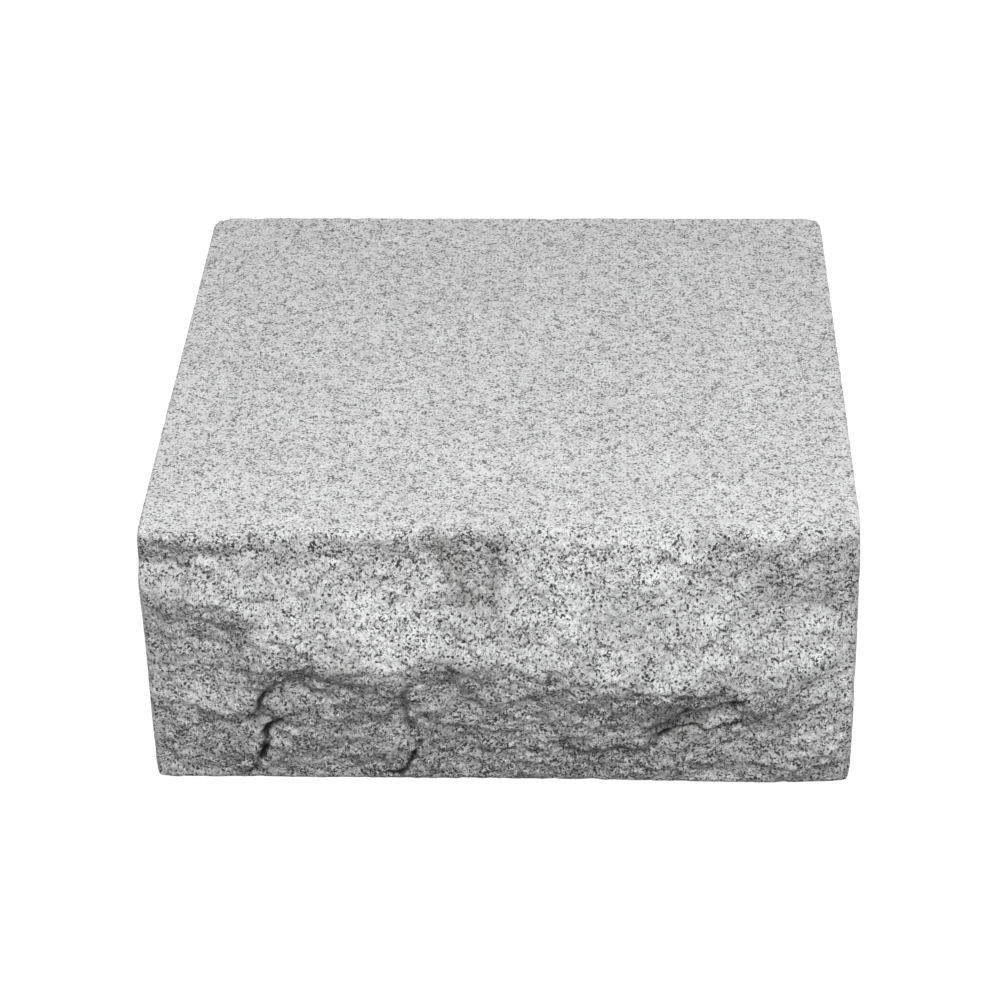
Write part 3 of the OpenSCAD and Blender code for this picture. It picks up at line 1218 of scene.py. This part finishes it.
        pits = bench.noise(bent, self.pit_mm, 4.0, 0.75)
        height = bench.times(scored, self.saw_bump, bench.times(from_middle, -0.3, pits))
        drop = bench.times(split, 1.0 * MM, 0.25 * MM)
        bump = bench.put("ShaderNodeBump", {"Strength": 1.0, "Distance": drop, "Height": height})
        sockets = {
            "Base Color": cracked,
            "Roughness": bench.times(flecks, -0.25, 0.86),
            "Normal": bump.outputs[0],
            "Specular IOR Level": 0.2,
        }
        shader = bench.put("ShaderNodeBsdfPrincipled", sockets)
        bench.put("ShaderNodeOutputMaterial", {0: shader.outputs[0]})
        return bench.material

    def saw_marks(self, bench: Bench, at: object, split: object, tread: object) -> Socket:
        """Lays out the saw's marks: level lines from -1 to 1 on what is neither split nor flamed.

        Args:
            bench: The material's nodes.
            at: Place on the stone.
            split: How much of the split face shows.
            tread: How much of the flamed tread shows.

        Returns:
            Height of the marks, 0 where there are none.
        """
        sawn = bench.times(bench.less(1.0, split), bench.less(1.0, tread))
        lines = bench.noise(bench.stretched(at, (0.04, 0.04, 1.0)), self.saw_mm, 3.0, 0.6)
        return bench.times(sawn, bench.smooth(lines, 0.35, 0.65, -1.0, 1.0))

    def pale_grains(self, bench: Bench, bent: object) -> tuple[Socket, Socket]:
        """Lays out the pale minerals: grains of their own tone, mottled by finer noise.

        A grain's lot and the noise add up to a score, and a ramp turns the score into quartz,
        dull feldspar or white feldspar with soft borders.

        Args:
            bench: The material's nodes.
            bent: Place on the stone, bent so that the grains' borders wander.

        Returns:
            The colour, and how far each place is from the middle of its grain.
        """
        grain = bench.grains(bent, self.grain_mm)
        mottle = bench.noise(bent, self.mottle_mm, 3.0, 0.8)
        score = bench.times(bench.lots(grain)[1], 0.12, mottle)
        stops = [(0.40, self.quartz), (0.48, self.oligoclase), (0.56, self.feldspar), (0.68, self.glint)]
        return bench.ramp(score, stops), grain.outputs["Distance"]

    def flecks(self, bench: Bench, at: object, bent: object, tread: object, under: object) -> Socket:
        """Scatters the black flecks: fine noise, gathered into nests and along the grains' seams.

        The score is the fine noise plus shares of the nest noise, of the closeness to a seam
        between large grains, and of each crumb's lot. The further the score is past a limit, the
        blacker the stone. Small round specks, each of its own size, come on top, and a slow noise
        leaves some of all these paler.

        Args:
            bench: The material's nodes.
            at: Place on the stone.
            bent: The same, bent.
            tread: How much of the flamed tread shows.
            under: How much shade is painted on the stone, most where it looks down.

        Returns:
            How black each place is, from 0 to 1.
        """
        fine = bench.noise(bent, self.fleck_mm, 2.0, 0.75)
        nests = bench.noise(at, self.nest_mm, 1.0)
        seam = bench.grains(bent, self.seam_mm, "DISTANCE_TO_EDGE").outputs["Distance"]
        crumb = bench.lots(bench.grains(bent, self.crumb_mm))[2]
        score = bench.times(nests, bench.times(tread, 0.09, 0.26), fine)
        score = bench.times(bench.smooth(seam, 0.20, 0.0), 0.04, score)
        score = bench.times(crumb, 0.18, score)
        # More black flecks where shade is painted.
        limit = bench.times(under, -0.05, bench.times(tread, 0.046, self.limit))
        black = bench.smooth(bench.less(score, limit), -0.035, 0.05)
        speck = bench.grains(bent, self.speck_mm)
        radius = bench.smooth(bench.lots(speck)[0], 0.42, 1.0, -0.1, 0.43)
        dots = bench.smooth(bench.less(radius, speck.outputs["Distance"]), -0.08, 0.08)
        faded = bench.smooth(bench.noise(at, self.fade_mm), 0.34, 0.5, 0.72, 1.0)
        return bench.times(bench.maths("MAXIMUM", black, dots), bench.times(tread, -0.14, faded))


# ---------------------------------------------------------------- studio


@dataclass(frozen=True)
class Viewpoint:
    """The camera: where it stands, in metres, how it is turned, in degrees, and its lens."""

    place: tuple[float, float, float] = (0.0524, -1.4804, 0.9391)
    yaw: float = -2.228
    pitch: float = 30.42
    roll: float = -0.92
    lens: float = 111.65

    def set_up(self) -> None:
        """Makes the camera, looking along +Y before yaw, pitch down and roll, and makes it active."""
        yaw, pitch, roll = (math.radians(v) for v in (self.yaw, self.pitch, self.roll))
        flat = math.cos(pitch)
        ahead = Vector((math.sin(yaw) * flat, math.cos(yaw) * flat, -math.sin(pitch)))
        level = Vector((math.cos(yaw), -math.sin(yaw), 0.0))
        over = level.cross(ahead)
        right = level * math.cos(roll) + over * math.sin(roll)
        up = over * math.cos(roll) - level * math.sin(roll)
        turned = Matrix((right, up, -ahead)).transposed().to_4x4()
        camera = stand("camera", bpy.data.cameras.new("camera"))
        camera.data.lens = self.lens
        camera.data.sensor_width = 36.0
        camera.data.clip_end = 50.0
        camera.matrix_world = Matrix.Translation(self.place) @ turned
        bpy.context.scene.camera = camera


@dataclass(frozen=True)
class Studio:
    """Plain pale floor and soft light: a big key above the front, two low rims behind, a dome.

    Attributes:
        dome: Strength of the even light from all round.
        key_level: Light of the key on a face square to it, where 1 shows a colour as it is.
        key_far: How far the key stands from the block, in metres.
        key_side: Side of the square key, in metres.
        key_turn: How far it stands round to the right of the front, in degrees.
        key_climb: How high it stands, in degrees.
        rim_level: Light of each rim on a face square to it.
        rim_turn: How far each rim stands round from the front, in degrees.
        rim_climb: How high the rims stand, in degrees.
        rim_spread: How wide each rim looks from the block, in degrees.
        floor_half: Half the side of the floor, in metres.
        floor_bounce: Share of the light that the floor gives back to the block.
        floor_grey: Share of it that the camera sees the floor give back.
        floor_glow: What the floor adds to that to look white.
    """

    dome: float = 0.216
    key_level: float = 0.80
    key_far: float = 1.9
    key_side: float = 0.8
    key_turn: float = 6.0
    key_climb: float = 45.0
    rim_level: float = 0.45
    rim_turn: float = 120.0
    rim_climb: float = 10.0
    rim_spread: float = 50.0
    floor_half: float = 8.0
    floor_bounce: float = 0.12
    floor_grey: float = 0.45
    floor_glow: float = 0.83

    def set_up(self) -> None:
        """Makes the floor, the lamps and the world."""
        self.floor()
        self.key()
        for name, turn in (("rim_right", self.rim_turn), ("rim_left", -self.rim_turn)):
            self.rim(name, turn)
        self.world()
        bpy.context.scene.view_settings.view_transform = "Standard"

    def towards(self, turn: float, climb: float) -> Vector:
        """Returns the direction from the block to a lamp: turned right of the front, then up."""
        turn, climb = math.radians(turn), math.radians(climb)
        flat = math.cos(climb)
        return Vector((math.sin(turn) * flat, -math.cos(turn) * flat, math.sin(climb)))

    def hang(self, lamp: bpy.types.Light, way: Vector, far: float) -> None:
        """Hangs a lamp that far along a direction, looking back at the block."""
        turned = way.to_track_quat("Z", "Y").to_matrix().to_4x4()
        stand(lamp.name, lamp).matrix_world = Matrix.Translation(way * far) @ turned

    def floor(self) -> None:
        """Makes the floor, white to the camera with the block's shadow on it, greyer to the block."""
        h = self.floor_half
        mesh = bpy.data.meshes.new("floor")
        mesh.from_pydata([(-h, -h, 0), (h, -h, 0), (h, h, 0), (-h, h, 0)], [], [(0, 1, 2, 3)])
        bench = Bench("floor")
        plain, pale = (
            bench.put("ShaderNodeBsdfDiffuse", {"Color": (grey, grey, grey, 1.0)}).outputs[0]
            for grey in (self.floor_bounce, self.floor_grey)
        )
        glow = bench.put("ShaderNodeEmission", {"Color": WHITE, "Strength": self.floor_glow}).outputs[0]
        white = bench.put("ShaderNodeAddShader", {0: pale, 1: glow}).outputs[0]
        both = bench.put("ShaderNodeMixShader", {0: bench.shown(), 1: plain, 2: white}).outputs[0]
        bench.put("ShaderNodeOutputMaterial", {0: both})
        mesh.materials.append(bench.material)
        stand("floor", mesh)

    def key(self) -> None:
        """Makes the key: a square lamp whose power gives its level at the block."""
        lamp = bpy.data.lights.new("key", "AREA")
        lamp.size = self.key_side
        lamp.energy = self.key_level * (math.pi * self.key_far) ** 2
        self.hang(lamp, self.towards(self.key_turn, self.key_climb), self.key_far)

    def rim(self, name: str, turn: float) -> None:
        """Makes one rim: a wide sun, low behind the block."""
        lamp = bpy.data.lights.new(name, "SUN")
        lamp.energy = self.rim_level * math.pi
        lamp.angle = math.radians(self.rim_spread)
        self.hang(lamp, self.towards(turn, self.rim_climb), self.key_far)

    def world(self) -> None:
        """Makes the world an even soft light that the camera sees as white."""
        world = bpy.data.worlds.new("studio")
        world.use_nodes = True
        bench = Bench("studio", world.node_tree)
        strength = bench.maths("MULTIPLY_ADD", bench.shown(), 1.0 - self.dome, self.dome)
        back = bench.put("ShaderNodeBackground", {"Color": WHITE, "Strength": strength})
        bench.put("ShaderNodeOutputWorld", {0: back.outputs[0]})
        bpy.context.scene.world = world


def main() -> None:
    """Builds the stone, dresses it, sets up the studio, and reports each piece."""
    logging.basicConfig(level=logging.INFO, format="%(name)s: %(message)s")
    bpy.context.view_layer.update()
    low, high = (np.array(corner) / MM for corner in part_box(STEP))
    step = GraniteStep(low=low, high=high)
    stone = step.build()
    stone.data.materials.append(GraniteFinish().material())
    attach(stone, "root")
    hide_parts(STEP)
    Viewpoint().set_up()
    Studio().set_up()


if __name__ == "__main__":
    main()
